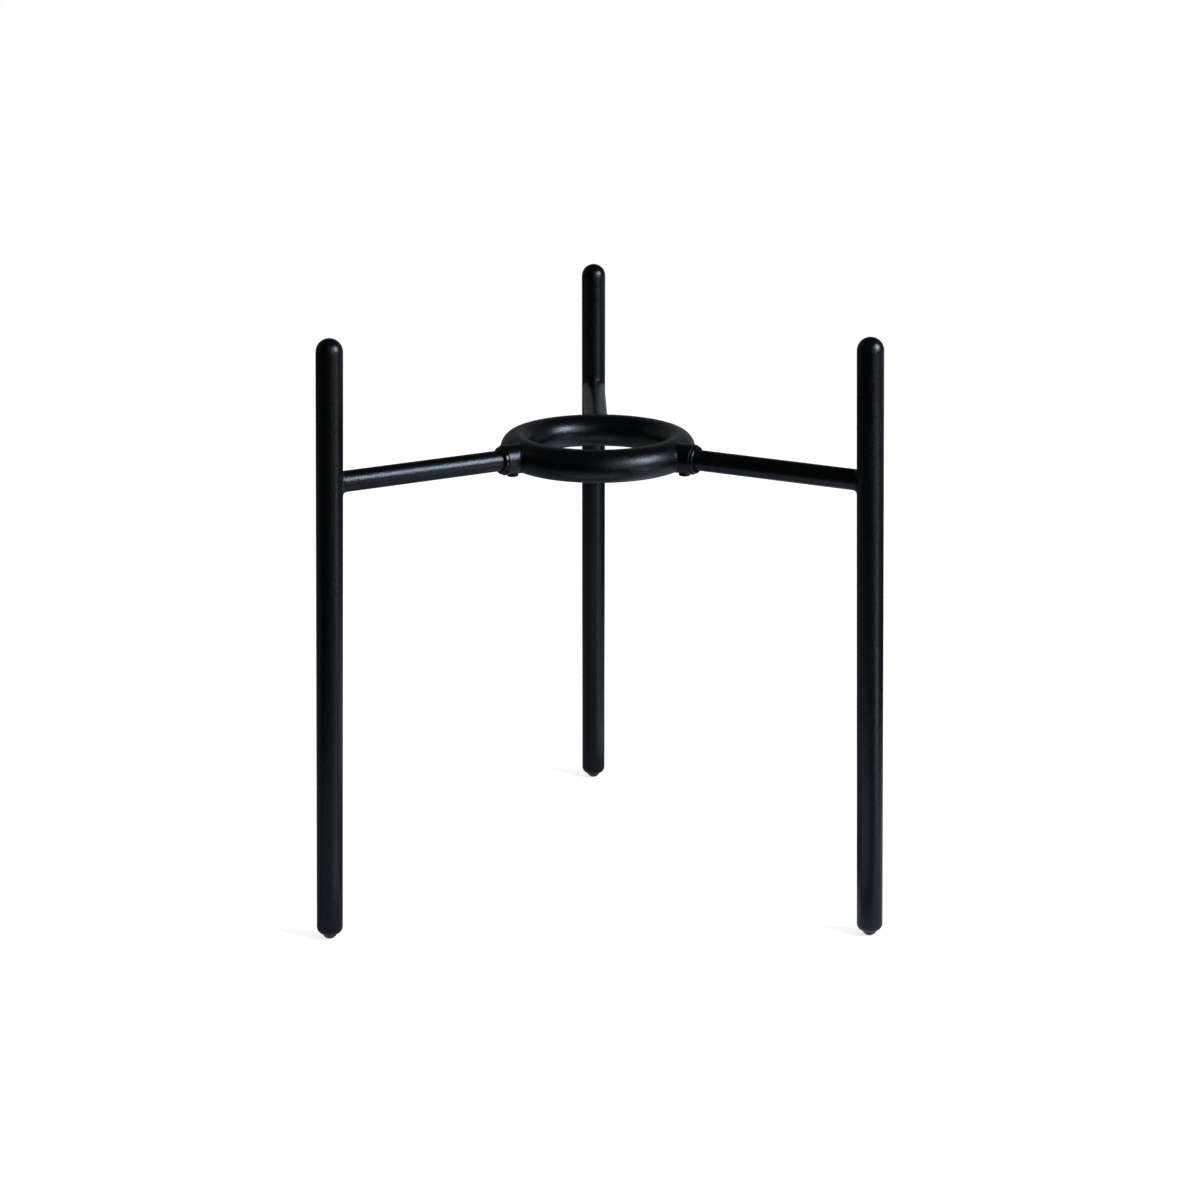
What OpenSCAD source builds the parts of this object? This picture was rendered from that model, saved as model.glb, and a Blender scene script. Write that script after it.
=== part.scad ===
// Plant stand: a small tube ring on three arms, each arm welded to a round leg that rises past the pot.
// Millimetres. The origin is on the floor under the middle of the ring, and Z points up.
// The rear arm is thick and welded to the ring. The left and right arms are thinner, and each slides in
// a bushed socket on the ring, where a clamp screw from below holds it.

/* [Legs] */
// Height of the stand, from the floor to the domed tops of the legs
stand_h = 372; // [340:1:420]
// Outside width of a leg tube
leg_d = 16; // [16:0.5:19]
// Wall of a leg tube
leg_wall = 1.5; // [1:0.1:2]
// Distance from the middle of the ring to a leg, at the height of its arm
leg_reach = 183.5; // [150:0.5:210]
// Lean of a leg, outward at its foot, in degrees
leg_lean = 1.7; // [0:0.1:3]
// Rounding of a leg's lower end
leg_shoulder_r = 4.5; // [2.5:0.5:4.5]

/* [Arms] */
// Height of the arms' centrelines above the floor
arm_h = 286; // [250:1:310]
// Outside width of the left and right arms' tubes
arm_d = 12.7; // [12:0.1:12.9]
// Outside width of the rear arm's tube
rear_arm_d = 15.4; // [12:0.1:15.8]
// Wall of an arm tube
arm_wall = 1.5; // [1:0.1:2]
// Distance from the middle of the ring to the left and right arms' inner ends
arm_start = 46; // [46:0.1:50]
// Size of the weld under an arm, where it meets its leg
weld_under = 3; // [1.6:0.1:3.2]
// Size of the weld over an arm, where it meets its leg
weld_over = 1.6; // [1:0.1:3]

/* [Ring] */
// Radius of the ring, to the middle of its tube
ring_r = 50.4; // [49:0.1:52]
// Outside width of the ring's tube
ring_d = 20.2; // [19.8:0.1:21]
// Wall of the ring's tube
ring_wall = 2; // [1.2:0.1:2.2]

/* [Sockets] */
// Outside width of a socket
socket_d = 18.5; // [17.5:0.1:18.8]
// Bore of a socket
socket_bore = 14.7; // [14.5:0.1:15]
// Distance from the middle of the ring to a socket's mouth
socket_end = 67.6; // [66:0.1:70]
// Rounding of the edge of a socket's mouth
socket_edge_r = 0.4; // [0.2:0.1:0.7]

/* [Bushes] */
// Width of a bush's flange, outside the socket
flange_d = 17; // [16.4:0.1:20]
// Thickness of a bush's flange
flange_t = 2.1; // [2:0.1:4]
// Rounding of a flange's outer rim
flange_rim_r = 1; // [0.5:0.1:1]
// Length of a bush's sleeve, inside the socket
sleeve_l = 12; // [9:0.5:14]

/* [Clamp screws] */
// Width of a clamp screw's head
screw_head_d = 7; // [6:0.1:7.4]
// Height of a clamp screw's head
screw_head_h = 1.8; // [1.6:0.1:2.5]
// Width of a clamp screw's thread
screw_d = 4; // [3:0.5:4]
// Distance from the middle of the ring to a clamp screw
screw_reach = 60.6; // [60.2:0.1:61.6]
// Key size of the hexagon socket in a clamp screw's head
screw_key = 2.5; // [2:0.5:3]

/* [Feet] */
// Width of a rubber foot where it meets its leg
foot_d = 9; // [8:0.1:10]
// Height of a foot below its leg
foot_h = 3; // [2.5:0.1:4]
// Width of a foot's stem, in the hole in the leg's end
foot_stem_d = 6; // [5:0.5:6]

/* [Hidden] */
$fn = 96;

// Directions of the three arms, seen from above
LEFT = 210;
RIGHT = 330;
REAR = 90;

// A fitted face stands this far off its neighbour: a bush in its socket, a screw in its thread
FIT_GAP = 0.05;
// An arm runs in its bush with this much room all round
SLIDE_GAP = 0.1;
// Cuts run this far past a face, so that no skin is left
OVER = 1;

leg_r = leg_d / 2;
arm_r = arm_d / 2;
rear_arm_r = rear_arm_d / 2;
socket_r = socket_d / 2;
ring_tube_r = ring_d / 2;

// Lengths along a leg, from its arm up to the middle of its dome and down to its lower end
leg_up = (stand_h - leg_r - arm_h) / cos(leg_lean);
leg_down = arm_h / cos(leg_lean) - foot_h;

// A foot is part of a ball that would reach this far past the floor, so it stands on a small flat
FOOT_FLAT_DEPTH = 0.4;
foot_tip = foot_h + FOOT_FLAT_DEPTH;
foot_ball_r = (pow(foot_d / 2, 2) + pow(foot_tip, 2)) / (2 * foot_tip);
FOOT_BARB_D = 7;
FOOT_BARB_H = 5;

// A clamp screw's head lies on a flat, cut this deep into the round underside of its socket
SPOT_DEPTH = 0.5;
SPOT_ROOM = 0.5;
spot_z = SPOT_DEPTH - socket_r;
HEAD_EDGE = 0.4;
KEY_DEPTH = 1.1;
SCREW_POINT = 0.5;

ARM_CHAMFER = 0.6;
SLEEVE_HOLE_ROOM = 0.4;

// Over and under its arm a weld's face is hollow: this share of the way from flat to its corner
WELD_HOLLOW = 0.8;
WELD_STEPS = 72;
WELD_FACE_STEPS = 6;
// At the sides of the arm a weld spreads this share of its size round the leg
WELD_SIDE_SHARE = 0.5;
// A weld's flat facets stand this far off the round arm and leg, so that none cuts into them
WELD_GAP = 0.03;
// A weld round an arm nearly as wide as its leg stops this far short of the leg's widest line
WELD_SIDE_STOP = 0.02;

// Puts what lies along +X, at the height of the arms, on its side of the stand
module at_side(turn) {
    rotate([0, 0, turn])
        translate([0, 0, arm_h])
            children();
}

// Lays a shape made along +Z along +X instead, with its base at the distance x
module lying(x) {
    translate([x, 0, 0])
        rotate([0, 90, 0])
            children();
}

// Puts a shape made along a leg's own axis in its place, with its Z = 0 at the arm
module on_leg() {
    translate([leg_reach, 0, 0])
        rotate([0, -leg_lean, 0])
            children();
}

// A plain ring of round section, about Z
module round_ring(section_r) {
    rotate_extrude()
        translate([ring_r, 0])
            circle(r = section_r);
}

// The leg's outline from its axis outwards, drawn in by inset all round
module leg_outline(inset) {
    r = leg_r - inset;
    shoulder = leg_shoulder_r - inset;
    low = inset - leg_down;
    intersection() {
        union() {
            translate([0, leg_up])
                circle(r = r);
            translate([0, low + shoulder])
                square([r, leg_up - low - shoulder]);
            translate([0, low])
                square([r - shoulder, leg_up - low]);
            translate([r - shoulder, low + shoulder])
                circle(r = shoulder);
        }
        translate([0, -2 * leg_down])
            square([leg_d, 4 * leg_down]);
    }
}

// Closes a ring of cross-sections, each a list of the same number of points, into one solid
module ring_of_sections(sections) {
    n = len(sections);
    m = len(sections[0]);
    corners = [
        for (i = [0 : n - 1], j = [0 : m - 1])
            let (a = i * m + j)
            let (b = i * m + (j + 1) % m)
            let (c = (i + 1) % n * m + j)
            let (d = (i + 1) % n * m + (j + 1) % m)
            each [[a, b, d], [a, d, c]]
    ];
    polyhedron(points = [for (s = sections) each s], faces = corners);
}

// The leg's round face at y and z, on the side towards the ring, with a weld's gap added
function leg_face(y, z) =
    let (r = leg_r + WELD_GAP)
    [leg_reach - (sqrt(r * r - y * y) + z * sin(leg_lean)) / cos(leg_lean), y, z];

// Size of the weld at the angle a round its arm: 90 is over it, and -90 is under it
function weld_size(a) = (weld_over + weld_under) / 2 + (weld_over - weld_under) / 2 * sin(a);

// A curve from p to q, drawn a share of the way towards the corner c
function hollow(p, q, c, share) =
    let (pull = (p + q) / 2 * (1 - share) + c * share)
    [
        for (i = [0 : WELD_FACE_STEPS])
            let (t = i / WELD_FACE_STEPS)
            (1 - t) * (1 - t) * p + 2 * t * (1 - t) * pull + t * t * q
    ];

// One cross-section of the weld round a tube, at the angle a: its face from the tube to the leg, then
// its back
function weld_section(tube_r, a) =
    let (size = weld_size(a))
    let (r = tube_r + WELD_GAP)
    let (reach = min(r + size * WELD_SIDE_SHARE, leg_r + WELD_GAP - WELD_SIDE_STOP))
    let (y = [r * cos(a), reach * cos(a)])
    let (z = [r * sin(a), (r + size) * sin(a)])
    let (corner = leg_face(y[0], z[0]))
    let (on_arm = corner - [size, 0, 0])
    let (on_leg = leg_face(y[1], z[1]))
    let (between = leg_face((y[0] + y[1]) / 2, (z[0] + z[1]) / 2))
    [each hollow(on_arm, on_leg, corner, WELD_HOLLOW * pow(sin(a), 2)), between, corner];

// Half the outline of a round bar, with its far edge rounded
module bar_outline(r, length, edge_r) {
    square([r, length - edge_r]);
    square([r - edge_r, length]);
    translate([r - edge_r, length - edge_r])
        circle(r = edge_r);
}

// The ring that a pot stands on: a bent tube, holed at its two sockets
module pot_ring() {
    color("#17191c")
        difference() {
            translate([0, 0, arm_h])
                difference() {
                    round_ring(ring_tube_r);
                    round_ring(ring_tube_r - ring_wall);
                }
            for (turn = [LEFT, RIGHT])
                at_side(turn)
                    lying(ring_r)
                        cylinder(d = socket_bore, h = ring_tube_r + OVER);
        }
}

// A short tube, cut to sit on the round of the ring, with a tapped hole and a flat for its screw
module socket(turn) {
    color("#17191c")
        at_side(turn)
            difference() {
                lying(ring_r)
                    rotate_extrude()
                        bar_outline(socket_r, socket_end - ring_r, socket_edge_r);
                lying(ring_r - OVER)
                    cylinder(d = socket_bore, h = socket_end - ring_r + 2 * OVER);
                round_ring(ring_tube_r);
                translate([screw_reach, 0, -socket_d])
                    cylinder(d = screw_d + 2 * FIT_GAP, h = socket_d);
                translate([screw_reach, 0, spot_z - socket_d])
                    cylinder(d = screw_head_d + 2 * SPOT_ROOM, h = socket_d);
            }
}

// A plastic bush: its flange closes the socket's mouth, and its sleeve guides the arm
module bush(turn) {
    color("#0d0e10")
        at_side(turn)
            difference() {
                lying(socket_end)
                    rotate_extrude() {
                        bar_outline(flange_d / 2, flange_t, flange_rim_r);
                        translate([0, -sleeve_l])
                            square([socket_bore / 2 - FIT_GAP, sleeve_l]);
                    }
                lying(socket_end - sleeve_l - OVER)
                    cylinder(d = arm_d + 2 * SLIDE_GAP, h = sleeve_l + flange_t + 2 * OVER);
                translate([screw_reach, 0, -socket_d])
                    cylinder(d = screw_d + 2 * SLEEVE_HOLE_ROOM, h = socket_d);
            }
}

// A low-headed screw, up through the socket's wall and the bush, with its point against the arm
module clamp_screw(turn) {
    top = -arm_r - FIT_GAP;
    head_top = spot_z - FIT_GAP;
    low = head_top - screw_head_h;
    head_r = screw_head_d / 2;
    color("#101113")
        at_side(turn)
            translate([screw_reach, 0, 0])
                difference() {
                    rotate_extrude()
                        polygon([
                            [0, low],
                            [head_r - HEAD_EDGE, low],
                            [head_r, low + HEAD_EDGE],
                            [head_r, head_top],
                            [screw_d / 2, head_top],
                            [screw_d / 2, top - SCREW_POINT],
                            [screw_d / 2 - SCREW_POINT, top],
                            [0, top]
                        ]);
                    translate([0, 0, low - OVER])
                        cylinder(d = screw_key / cos(30), h = KEY_DEPTH + OVER, $fn = 6);
                }
}

// A sliding arm: a tube from inside the ring to its leg, its outer end cut to the round of the leg
module arm(turn) {
    bore_r = arm_r - arm_wall;
    reach = leg_reach - arm_start;
    color("#17191c")
        at_side(turn)
            difference() {
                lying(arm_start)
                    rotate_extrude()
                        polygon([
                            [bore_r, 0],
                            [arm_r - ARM_CHAMFER, 0],
                            [arm_r, ARM_CHAMFER],
                            [arm_r, reach],
                            [bore_r, reach]
                        ]);
                on_leg()
                    translate([0, 0, -leg_down])
                        cylinder(d = leg_d, h = leg_up + leg_down);
            }
}

// The fixed arm: a thick tube, cut at one end to the round of the ring and at the other to the leg's
module rear_arm() {
    color("#17191c")
        at_side(REAR)
            difference() {
                lying(ring_r)
                    cylinder(d = rear_arm_d, h = leg_reach - ring_r);
                lying(ring_r - OVER)
                    cylinder(d = rear_arm_d - 2 * arm_wall, h = leg_reach - ring_r + 2 * OVER);
                round_ring(ring_tube_r);
                on_leg()
                    translate([0, 0, -leg_down])
                        cylinder(d = leg_d, h = leg_up + leg_down);
            }
}

// The weld that joins an arm's tube to its leg, fuller underneath
module arm_weld(turn, tube_r) {
    color("#17191c")
        at_side(turn)
            ring_of_sections([
                for (i = [0 : WELD_STEPS - 1])
                    weld_section(tube_r, 360 * i / WELD_STEPS)
            ]);
}

// A tube with a domed top, drawn in at its lower end round the hole for its foot
module leg(turn) {
    color("#17191c")
        at_side(turn)
            on_leg()
                difference() {
                    rotate_extrude()
                        difference() {
                            leg_outline(0);
                            leg_outline(leg_wall);
                        }
                    translate([0, 0, -leg_down - OVER])
                        cylinder(d = foot_stem_d + 2 * FIT_GAP, h = leg_wall + 2 * OVER);
                }
}

// A rubber foot, pushed into the leg and held by its barb, with a small flat on the floor
module foot(turn) {
    stem_r = foot_stem_d / 2;
    color("#111111")
        difference() {
            at_side(turn)
                on_leg()
                    translate([0, 0, -leg_down])
                        rotate_extrude() {
                            intersection() {
                                translate([0, foot_ball_r - foot_tip])
                                    circle(r = foot_ball_r);
                                translate([0, -foot_ball_r])
                                    square([foot_d, foot_ball_r]);
                            }
                            square([stem_r, leg_wall]);
                            translate([0, leg_wall])
                                polygon([
                                    [0, 0],
                                    [FOOT_BARB_D / 2, 0],
                                    [stem_r, FOOT_BARB_H],
                                    [0, FOOT_BARB_H]
                                ]);
                        }
            translate([-2 * leg_reach, -2 * leg_reach, -foot_d])
                cube([4 * leg_reach, 4 * leg_reach, foot_d]);
        }
}

pot_ring();
socket(LEFT);  // socket_left
socket(RIGHT);  // socket_right
bush(LEFT);  // bush_left
bush(RIGHT);  // bush_right
clamp_screw(LEFT);  // clamp_screw_left
clamp_screw(RIGHT);  // clamp_screw_right
arm(LEFT);  // arm_left
arm(RIGHT);  // arm_right
rear_arm();  // arm_rear
arm_weld(LEFT, arm_r);  // arm_weld_left
arm_weld(RIGHT, arm_r);  // arm_weld_right
arm_weld(REAR, rear_arm_r);  // arm_weld_rear
leg(LEFT);  // leg_left
leg(RIGHT);  // leg_right
leg(REAR);  // leg_rear
foot(LEFT);  // foot_left
foot(RIGHT);  // foot_right
foot(REAR);  // foot_rear
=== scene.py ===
import math

import bpy
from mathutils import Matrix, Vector


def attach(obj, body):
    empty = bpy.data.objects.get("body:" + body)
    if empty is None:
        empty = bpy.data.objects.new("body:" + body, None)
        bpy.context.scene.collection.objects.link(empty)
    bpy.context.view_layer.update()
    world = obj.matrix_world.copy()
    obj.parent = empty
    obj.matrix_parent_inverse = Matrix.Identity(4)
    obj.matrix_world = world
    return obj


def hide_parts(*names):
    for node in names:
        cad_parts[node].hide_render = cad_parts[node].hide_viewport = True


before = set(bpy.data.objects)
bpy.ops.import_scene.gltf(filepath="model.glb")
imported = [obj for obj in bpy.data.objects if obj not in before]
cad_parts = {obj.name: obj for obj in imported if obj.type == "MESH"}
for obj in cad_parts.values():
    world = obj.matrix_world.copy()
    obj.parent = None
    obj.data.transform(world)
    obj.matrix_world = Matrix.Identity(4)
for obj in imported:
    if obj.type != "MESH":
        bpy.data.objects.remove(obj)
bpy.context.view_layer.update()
scene = bpy.context.scene


# The camera: a long lens that looks down a little on the stand from the front, a degree or two off
# the rear leg's line, as in the photograph.
lens = bpy.data.cameras.new("camera")
lens.sensor_width = 36
lens.lens = 79.52
camera = bpy.data.objects.new("camera", lens)
scene.collection.objects.link(camera)
camera.location = (-0.0259, -1.6065, 0.6534)
camera.rotation_euler = [math.radians(turn) for turn in (73.831, -0.033, -0.9645)]
scene.camera = camera
scene.view_settings.view_transform = "Standard"


# The surround and the floor: a white floor that fades into a white surround. The lens and gloss see
# them white, while the soft light that they give the stand is much weaker.
def socket_value(tree, target, value):
    """Link an output to a socket, or set the socket to a constant."""
    if isinstance(value, bpy.types.NodeSocket):
        tree.links.new(value, target)
    else:
        target.default_value = value


def math_node(tree, operation, *values):
    node = tree.nodes.new("ShaderNodeMath")
    node.operation = operation
    for target, value in zip(node.inputs, values):
        socket_value(tree, target, value)
    return node.outputs[0]


def shown_as_background(tree):
    """1 for a ray from the camera or one that gloss or glass sends on, and 0 for soft light."""
    path = tree.nodes.new("ShaderNodeLightPath")
    gloss = math_node(tree, "MAXIMUM", path.outputs["Is Camera Ray"], path.outputs["Is Glossy Ray"])
    return math_node(tree, "MAXIMUM", gloss, path.outputs["Is Transmission Ray"])


SOFT_LIGHT = 0.35
world = bpy.data.worlds.new("surround")
world.use_nodes = True
scene.world = world
tree = world.node_tree
tree.nodes.clear()
soft = tree.nodes.new("ShaderNodeBackground")
soft.inputs["Color"].default_value = (1, 1, 1, 1)
soft.inputs["Strength"].default_value = SOFT_LIGHT
white = tree.nodes.new("ShaderNodeBackground")
white.inputs["Color"].default_value = (1, 1, 1, 1)
white.inputs["Strength"].default_value = 1
either = tree.nodes.new("ShaderNodeMixShader")
output = tree.nodes.new("ShaderNodeOutputWorld")
tree.links.new(shown_as_background(tree), either.inputs["Fac"])
tree.links.new(soft.outputs[0], either.inputs[1])
tree.links.new(white.outputs[0], either.inputs[2])
tree.links.new(either.outputs[0], output.inputs["Surface"])

FLOOR_PAINT = 0.8
FLOOR_LIFT = 0.7
FLOOR_R = 5.0
FLOOR_FADE_R = 1.2
FLOOR_SIDES = 96
floor_white = bpy.data.materials.new("floor_white")
floor_white.use_nodes = True
tree = floor_white.node_tree
tree.nodes.clear()
paint = tree.nodes.new("ShaderNodeBsdfDiffuse")
paint.inputs["Color"].default_value = (FLOOR_PAINT, FLOOR_PAINT, FLOOR_PAINT, 1)
glow = tree.nodes.new("ShaderNodeEmission")
lift = math_node(tree, "MULTIPLY", shown_as_background(tree), FLOOR_LIFT)
tree.links.new(lift, glow.inputs["Strength"])
both = tree.nodes.new("ShaderNodeAddShader")
tree.links.new(paint.outputs[0], both.inputs[0])
tree.links.new(glow.outputs[0], both.inputs[1])
place = tree.nodes.new("ShaderNodeTexCoord")
reach = tree.nodes.new("ShaderNodeVectorMath")
reach.operation = "LENGTH"
tree.links.new(place.outputs["Object"], reach.inputs[0])
fade = tree.nodes.new("ShaderNodeMapRange")
fade.interpolation_type = "SMOOTHSTEP"
fade.inputs["From Min"].default_value = FLOOR_FADE_R
fade.inputs["From Max"].default_value = FLOOR_R
tree.links.new(reach.outputs["Value"], fade.inputs["Value"])
gone = tree.nodes.new("ShaderNodeBsdfTransparent")
edge = tree.nodes.new("ShaderNodeMixShader")
tree.links.new(fade.outputs["Result"], edge.inputs["Fac"])
tree.links.new(both.outputs[0], edge.inputs[1])
tree.links.new(gone.outputs[0], edge.inputs[2])
output = tree.nodes.new("ShaderNodeOutputMaterial")
tree.links.new(edge.outputs[0], output.inputs["Surface"])


def at(bearing, radius, height):
    """A point by its bearing in degrees from the camera's side of the stand, to the right."""
    turn = math.radians(bearing)
    return (radius * math.sin(turn), -radius * math.cos(turn), height)


def around(radius, height, sides=FLOOR_SIDES):
    return [at(-360 * i / sides, radius, height) for i in range(sides)]


def stage_polygon(name, corners, material):
    mesh = bpy.data.meshes.new(name)
    mesh.from_pydata(corners, [], [range(len(corners))])
    mesh.materials.append(material)
    obj = bpy.data.objects.new(name, mesh)
    scene.collection.objects.link(obj)
    return obj


stage_polygon("floor", around(FLOOR_R, 0), floor_white)


# The lamp: one softbox, high on the right and a little in front. It draws the long highlights on
# the left arm, the ring and the right side of every leg.
KEY_PLACE = Vector((1.35, -0.68, 1.08))
KEY_AIM = Vector((0, 0, 0.25))
lamp = bpy.data.lights.new("softbox", "AREA")
lamp.shape = "SQUARE"
lamp.size = 0.75
lamp.energy = 30
lamp.color = (0.64, 0.78, 1.0)
softbox = bpy.data.objects.new("softbox", lamp)
scene.collection.objects.link(softbox)
softbox.location = KEY_PLACE
softbox.rotation_euler = (KEY_AIM - KEY_PLACE).to_track_quat("-Z", "Y").to_euler()


# The cards: glowing grey and black boards round the stand and over it, which only its gloss sees, so
# they are painted reflections, since a black coat in an all-white room would look grey. The gap at the
# right front shows the white floor and surround, and with the pale glowing cards near the stand it
# makes the bright band down each leg, a painted reflection in part.
def card(name, corners, reflection_glow):
    board = bpy.data.materials.new(name)
    board.use_nodes = True
    tree = board.node_tree
    tree.nodes.clear()
    # Each card only glows, though it is no lamp: its colour is a painted reflection that only gloss sees.
    face = tree.nodes.new("ShaderNodeEmission")
    face.inputs["Color"].default_value = (*reflection_glow, 1)
    output = tree.nodes.new("ShaderNodeOutputMaterial")
    tree.links.new(face.outputs[0], output.inputs["Surface"])
    obj = stage_polygon(name, corners, board)
    obj.visible_camera = False
    obj.visible_diffuse = False
    obj.visible_transmission = False
    obj.visible_shadow = False


CARD_Z = 0.003
DISC_R, INNER_R, BAND_R, NEAR_R, MIDDLE_R, WALL_R = 0.12, 0.23, 0.34, 0.5, 1.6, 4.5
INNER = (DISC_R, INNER_R)
OUTER = (INNER_R, NEAR_R)
BAND = (DISC_R, BAND_R)
RIM = (BAND_R, NEAR_R)
NEAR = (DISC_R, NEAR_R)
MIDDLE = (NEAR_R, MIDDLE_R)
FAR = (MIDDLE_R, WALL_R)
SILL_H, TOP_H = 1.8, 4.0
LOW = (0, SILL_H)
HIGH = (SILL_H, TOP_H)
BOARD_TURN = 12
BLACK = (0.003, 0.003, 0.003)


def steps(start, end):
    """Bearings from start to end, about a board's width apart."""
    count = round((end - start) / BOARD_TURN)
    return [start + (end - start) * i / count for i in range(count + 1)]


def floor_card(name, radii, start, end, reflection_glow):
    """A card on the floor between two radii, from the bearing start to the bearing end."""
    inner = [at(bearing, radii[0], CARD_Z) for bearing in steps(start, end)]
    outer = [at(bearing, radii[1], CARD_Z) for bearing in reversed(steps(start, end))]
    card(name, inner + outer, reflection_glow)


def wall_cards(name, heights, start, end, reflection_glow):
    """Boards that stand side by side, from the bearing start to the bearing end."""
    low, high = heights
    bearings = steps(start, end)
    for i, (left, right) in enumerate(zip(bearings, bearings[1:])):
        foot = [at(left, WALL_R, low), at(right, WALL_R, low)]
        top = [at(right, WALL_R, high), at(left, WALL_R, high)]
        card(f"{name}_{i + 1}", foot + top, reflection_glow)


card("card_under", around(DISC_R, CARD_Z), (0.120, 0.140, 0.190))
floor_card("card_inner_left_front", INNER, -60, -38, (0.200, 0.250, 0.340))
floor_card("card_inner_front", INNER, -38, -6, (0.600, 0.660, 0.800))
floor_card("card_inner_middle", INNER, -6, 2, (0.200, 0.250, 0.340))
floor_card("card_outer_front", OUTER, -60, 2, (0.200, 0.250, 0.340))
floor_card("card_near_right_front", BAND, 2, 30, (0.520, 0.590, 0.720))
floor_card("card_rim_right_front", RIM, 2, 30, (0.150, 0.180, 0.240))
floor_card("card_near_gap", NEAR, 30, 50, (0.120, 0.150, 0.200))
floor_card("card_near_right", NEAR, 50, 112, (0.440, 0.500, 0.620))
floor_card("card_inner_right_rear", INNER, 112, 165, (0.600, 0.660, 0.800))
floor_card("card_outer_right_rear", OUTER, 112, 165, (0.243, 0.269, 0.350))
floor_card("card_near_rear", NEAR, 165, 190, (0.180, 0.200, 0.260))
floor_card("card_near_left_rear", NEAR, 190, 255, (0.115, 0.146, 0.175))
floor_card("card_near_left", NEAR, 255, 300, (0.130, 0.150, 0.180))
floor_card("card_middle_front", MIDDLE, -70, 20, BLACK)
floor_card("card_middle_right_front", MIDDLE, 20, 50, (0.020, 0.030, 0.070))
floor_card("card_middle_right", MIDDLE, 65, 90, (0.020, 0.030, 0.070))
floor_card("card_middle_rear", MIDDLE, 90, 210, (0.010, 0.020, 0.040))
floor_card("card_middle_left", MIDDLE, 210, 290, (0.085, 0.095, 0.105))
floor_card("card_far_front", FAR, -90, 68, BLACK)
floor_card("card_far_right", FAR, 68, 110, (0.180, 0.210, 0.250))
floor_card("card_far_right_rear", FAR, 110, 150, (0.379, 0.432, 0.498))
floor_card("card_far_rear", FAR, 150, 180, (0.257, 0.292, 0.336))
floor_card("card_far_left_rear", FAR, 180, 210, (0.110, 0.124, 0.142))
floor_card("card_far_left", FAR, 210, 270, (0.005, 0.006, 0.003))
wall_cards("card_low_front", LOW, -90, 20, BLACK)
wall_cards("card_low_right", LOW, 48, 110, BLACK)
wall_cards("card_low_right_rear", LOW, 110, 150, (0.078, 0.087, 0.114))
wall_cards("card_low_rear", LOW, 150, 180, (0.163, 0.192, 0.187))
wall_cards("card_low_left_rear", LOW, 180, 210, (0.101, 0.113, 0.109))
wall_cards("card_low_left", LOW, 210, 270, (0.075, 0.081, 0.078))
wall_cards("card_high_front", HIGH, -90, 20, BLACK)
wall_cards("card_high_right", HIGH, 68, 110, BLACK)
wall_cards("card_high_right_rear", HIGH, 110, 150, (0.058, 0.062, 0.080))
wall_cards("card_high_rear", HIGH, 150, 210, (0.083, 0.080, 0.096))
wall_cards("card_high_left", HIGH, 210, 270, (0.085, 0.092, 0.098))
card("card_top", around(WALL_R, TOP_H), (0.005, 0.010, 0.012))


# The grain that every surface here has in its own size: a fine relief, a speckle of the same grain
# and broad faint clouds. Powder coat has it as orange peel, and moulded parts from their mould.
grain_group = bpy.data.node_groups.new("surface_grain", "ShaderNodeTree")
for label, value in (("Grain", 1000.0), ("Depth", 0.00002), ("Cloud", 30.0)):
    entry = grain_group.interface.new_socket(label, in_out="INPUT", socket_type="NodeSocketFloat")
    entry.default_value = value
grain_group.interface.new_socket("Normal", in_out="OUTPUT", socket_type="NodeSocketVector")
grain_group.interface.new_socket("Speckle", in_out="OUTPUT", socket_type="NodeSocketFloat")
grain_group.interface.new_socket("Clouds", in_out="OUTPUT", socket_type="NodeSocketFloat")
FINE_SHARE = 0.35
FINE_SCALE = 3.3


def noise(tree, vector, scale, detail, rough=0.5):
    texture = tree.nodes.new("ShaderNodeTexNoise")
    socket_value(tree, texture.inputs["Vector"], vector)
    socket_value(tree, texture.inputs["Scale"], scale)
    texture.inputs["Detail"].default_value = detail
    texture.inputs["Roughness"].default_value = rough
    return texture.outputs[0]


tree = grain_group
given = tree.nodes.new("NodeGroupInput")
where = tree.nodes.new("ShaderNodeTexCoord").outputs["Object"]
coarse = noise(tree, where, given.outputs["Grain"], 1.5)
fine = noise(tree, where, math_node(tree, "MULTIPLY", given.outputs["Grain"], FINE_SCALE), 1)
height = math_node(tree, "MULTIPLY_ADD", fine, FINE_SHARE, coarse)
relief = tree.nodes.new("ShaderNodeBump")
tree.links.new(height, relief.inputs["Height"])
tree.links.new(given.outputs["Depth"], relief.inputs["Distance"])
result = tree.nodes.new("NodeGroupOutput")
tree.links.new(relief.outputs[0], result.inputs["Normal"])
tree.links.new(coarse, result.inputs["Speckle"])
tree.links.new(noise(tree, where, given.outputs["Cloud"], 3), result.inputs["Clouds"])


def grained(name, grain_mm, depth_mm, cloud_mm):
    """A material with its grain node, ready for its colour and finish."""
    material = bpy.data.materials.new(name)
    material.use_nodes = True
    grain = material.node_tree.nodes.new("ShaderNodeGroup")
    grain.node_tree = grain_group
    grain.inputs["Grain"].default_value = 1000 / grain_mm
    grain.inputs["Depth"].default_value = depth_mm / 1000
    grain.inputs["Cloud"].default_value = 1000 / cloud_mm
    return material, grain


def blend_colours(tree, share, first, second):
    mix = tree.nodes.new("ShaderNodeMix")
    mix.data_type = "RGBA"
    socket_value(tree, mix.inputs["Factor"], share)
    mix.inputs[6].default_value = (*first, 1)
    mix.inputs[7].default_value = (*second, 1)
    return mix.outputs[2]


def spread(tree, value, low, high):
    """Stretch the middle of a noise over the range from low to high."""
    ranged = tree.nodes.new("ShaderNodeMapRange")
    ranged.inputs["From Min"].default_value = 0.3
    ranged.inputs["From Max"].default_value = 0.7
    ranged.inputs["To Min"].default_value = low
    ranged.inputs["To Max"].default_value = high
    tree.links.new(value, ranged.inputs["Value"])
    return ranged.outputs["Result"]


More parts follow.
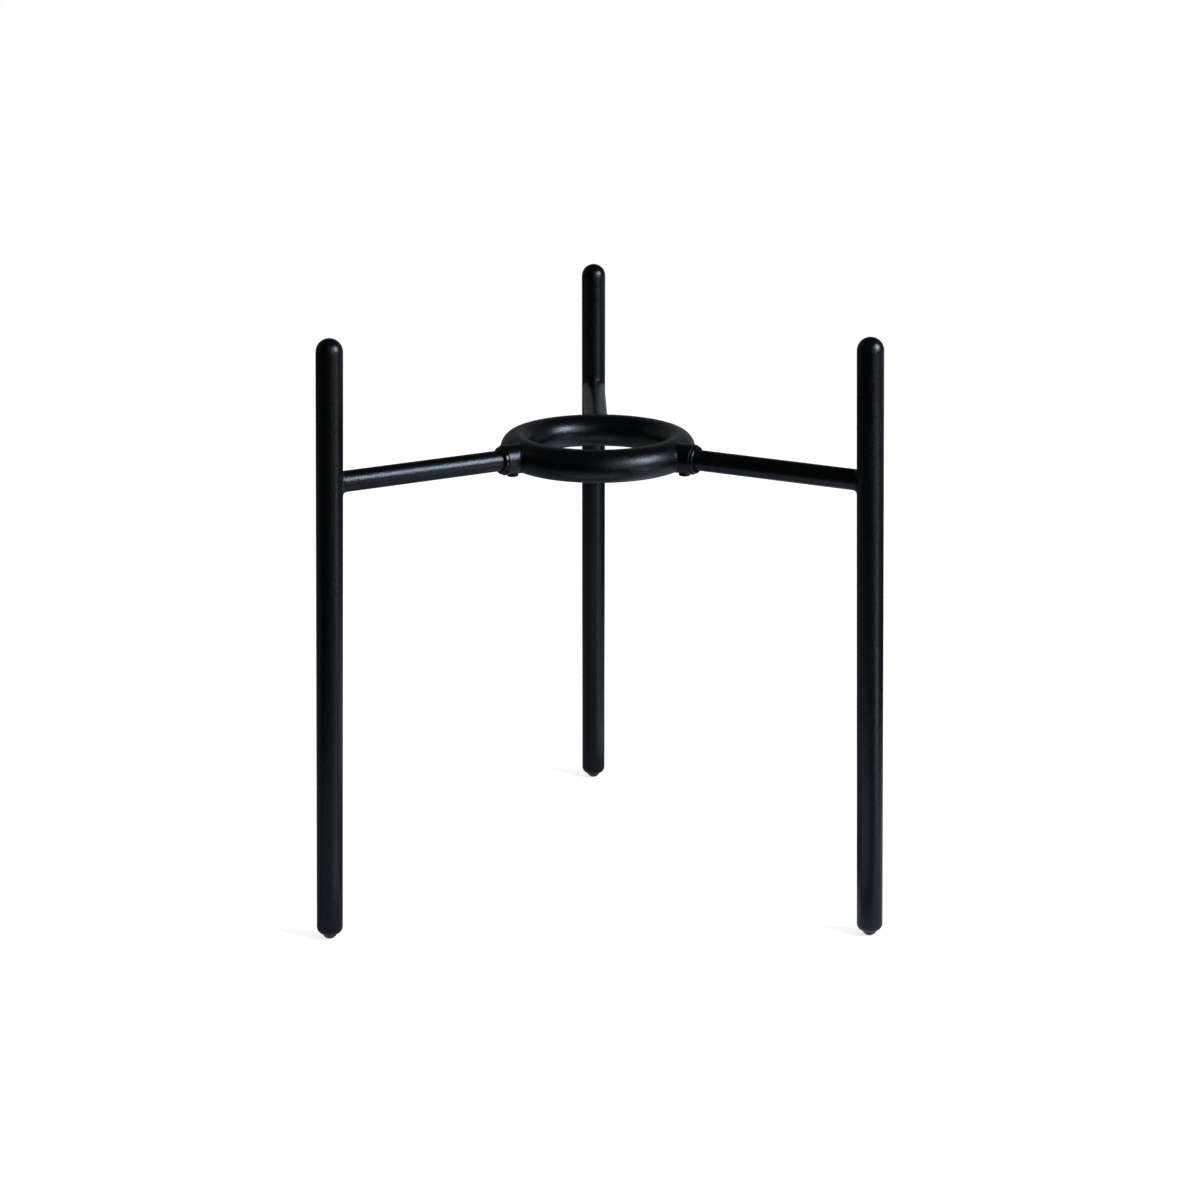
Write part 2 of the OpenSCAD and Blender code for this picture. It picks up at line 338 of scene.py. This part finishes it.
def finished(kind, grain, thin, thick, roughness, pattern="Clouds"):
    """The finish's two colours, blended by its clouds, and its roughness, spread by the pattern."""
    tree = kind.node_tree
    shader = tree.nodes["Principled BSDF"]
    colour = blend_colours(tree, grain.outputs["Clouds"], thin, thick)
    tree.links.new(colour, shader.inputs["Base Color"])
    tree.links.new(spread(tree, grain.outputs[pattern], *roughness), shader.inputs["Roughness"])
    tree.links.new(grain.outputs["Normal"], shader.inputs["Normal"])
    return tree, shader


def dress(piece, material):
    """Give the material to every CAD node of one kind, such as leg for all three legs."""
    for name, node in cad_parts.items():
        if name.startswith(piece):
            node.data.materials.clear()
            node.data.materials.append(material)


# The ring, the sockets, the arms and the legs, all bent, cut and welded from round steel tube. The
# powder coat is satin black, a little blue, with the fine pebbled skin that breaks each highlight
# into beads. The clouds are where it went on a little thicker.
coat, grain = grained("black_powder_coat", 1.2, 0.14, 30)
tree, shader = finished(coat, grain, (0.0014, 0.0016, 0.0019), (0.0024, 0.0027, 0.0032), (0.26, 0.31))
tree.links.new(spread(tree, grain.outputs["Speckle"], 0.42, 0.58), shader.inputs["Specular IOR Level"])
for piece in ("pot_ring", "socket", "arm", "leg"):
    dress(piece, coat)


# The bushes: black plastic, moulded in one piece with a flange that stops each in its socket's
# mouth. They are glossier than the coat, so their rims catch the light.
plastic, grain = grained("black_gloss_plastic", 2.5, 0.01, 12)
finished(plastic, grain, (0.003, 0.003, 0.003), (0.005, 0.005, 0.006), (0.09, 0.14))
dress("bush", plastic)


# The clamp screws: low-head hexagon socket screws of blackened steel. Each comes up through the
# underside of its socket, and its point holds the arm.
oxide, grain = grained("black_oxide", 0.6, 0.01, 5)
finished(oxide, grain, (0.006, 0.006, 0.006), (0.012, 0.011, 0.011), (0.25, 0.4), "Speckle")
dress("clamp", oxide)


# The feet: matt black rubber, each pushed into the end of its leg with a barbed stem.
rubber, grain = grained("black_rubber", 0.4, 0.02, 6)
tree, shader = finished(rubber, grain, (0.003, 0.003, 0.003), (0.005, 0.005, 0.005), (0.5, 0.65), "Speckle")
shader.inputs["Specular IOR Level"].default_value = 0.3
dress("foot", rubber)


# The welds between the arms and the legs: steel fillets, hollow in section and fuller under the
# arm, smoothed over by the coat. Each runs once round its arm's end, out along the leg's face.
MM = 0.001
ARM_H = 286 * MM
LEG_REACH = 183.5 * MM
LEG_R = 8 * MM
LEG_LEAN = math.radians(1.7)
ARM_R = 6.35 * MM
REAR_ARM_R = 7.7 * MM
WELD_OVER = 1.6 * MM
REAR_WELD_OVER = 0.5 * MM
WELD_UNDER = 3.0 * MM
WELD_SIDE = 0.5
WELD_STEPS = 144
FILLET_STEPS = 8
SKIN = 0.03 * MM
BURIED = 0.25 * MM
SIDES = {"left": 210, "right": 330, "rear": 90}
BODIES = {"left": "left_leg_frame", "right": "right_leg_frame", "rear": "frame"}


def loop_mesh(name, sections, material):
    """A closed band through a ring of cross-sections, each a closed loop of points."""
    rows, points = len(sections), len(sections[0])
    mesh = bpy.data.meshes.new(name)
    faces = [
        (i * points + j, i * points + (j + 1) % points,
         (i + 1) % rows * points + (j + 1) % points, (i + 1) % rows * points + j)
        for i in range(rows) for j in range(points)
    ]
    mesh.from_pydata([point for section in sections for point in section], [], faces)
    mesh.materials.append(material)
    mesh.shade_smooth()
    obj = bpy.data.objects.new(name, mesh)
    scene.collection.objects.link(obj)
    return obj


def fillet(start, corner, end):
    """A hollow curve from start to end, which leaves each of them along the line to the corner."""
    points = []
    for i in range(FILLET_STEPS + 1):
        t = i / FILLET_STEPS
        points.append(start * (1 - t) ** 2 + corner * (2 * t * (1 - t)) + end * t ** 2)
    return points


def on_leg(y, z):
    """The leg's face on the side towards the ring, in the arm's own frame."""
    bulge = math.sqrt(max(LEG_R ** 2 - y ** 2, 0)) + z * math.sin(LEG_LEAN)
    return Vector((LEG_REACH - bulge / math.cos(LEG_LEAN), y, z))


def turned(points, side):
    """Points from an arm's own frame, in which it runs along +X, to their place on the stand."""
    turn = math.radians(SIDES[side])
    c, s = math.cos(turn), math.sin(turn)
    return [(p.x * c - p.y * s, p.x * s + p.y * c, p.z + ARM_H) for p in points]


for side, tube_r, over in (
    ("left", ARM_R, WELD_OVER), ("right", ARM_R, WELD_OVER), ("rear", REAR_ARM_R, REAR_WELD_OVER)
):
    sections = []
    for i in range(WELD_STEPS):
        angle = math.tau * i / WELD_STEPS
        c, s = math.cos(angle), math.sin(angle)
        size = (over + WELD_UNDER) / 2 + (over - WELD_UNDER) / 2 * s
        spread_y = min(tube_r + size * WELD_SIDE, LEG_R - SKIN)
        corner = on_leg(tube_r * c, tube_r * s)
        start = corner - Vector((size, 0, 0))
        end = on_leg(spread_y * c, (tube_r + size) * s)
        inside = corner + Vector((BURIED, -BURIED * c, -BURIED * s))
        sections.append(turned(reversed(fillet(start, corner, end) + [inside]), side))
    weld = loop_mesh(f"weld_{side}", sections, coat)
    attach(weld, BODIES[side])
    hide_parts(f"arm_weld_{side}")


# The seams where the two sockets and the rear arm meet the ring: welded, ground flush and coated,
# so only a fine hollow line of coat is left in the corner.
RING_R = 50.4 * MM
RING_TUBE_R = 10.1 * MM
SOCKET_R = 9.25 * MM
SEAM = 0.7 * MM
REAR_SEAM = 0.3 * MM


def on_ring(y, z):
    """The ring's outer face at y and z, in an arm's own frame."""
    out = RING_R + math.sqrt(RING_TUBE_R ** 2 - z ** 2)
    return Vector((math.sqrt(out ** 2 - y ** 2), y, z))


for side, tube_r, size in (
    ("left", SOCKET_R, SEAM), ("right", SOCKET_R, SEAM), ("rear", REAR_ARM_R, REAR_SEAM)
):
    sections = []
    for i in range(WELD_STEPS):
        angle = math.tau * i / WELD_STEPS
        c, s = math.cos(angle), math.sin(angle)
        corner = on_ring(tube_r * c, tube_r * s)
        start = corner + Vector((size, 0, 0))
        end = on_ring((tube_r + size) * c, (tube_r + size) * s)
        inside = corner + Vector((-BURIED, -BURIED * c, -BURIED * s))
        sections.append(turned(fillet(start, corner, end) + [inside], side))
    seam = loop_mesh(f"ring_seam_{side}", sections, coat)
    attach(seam, "frame")
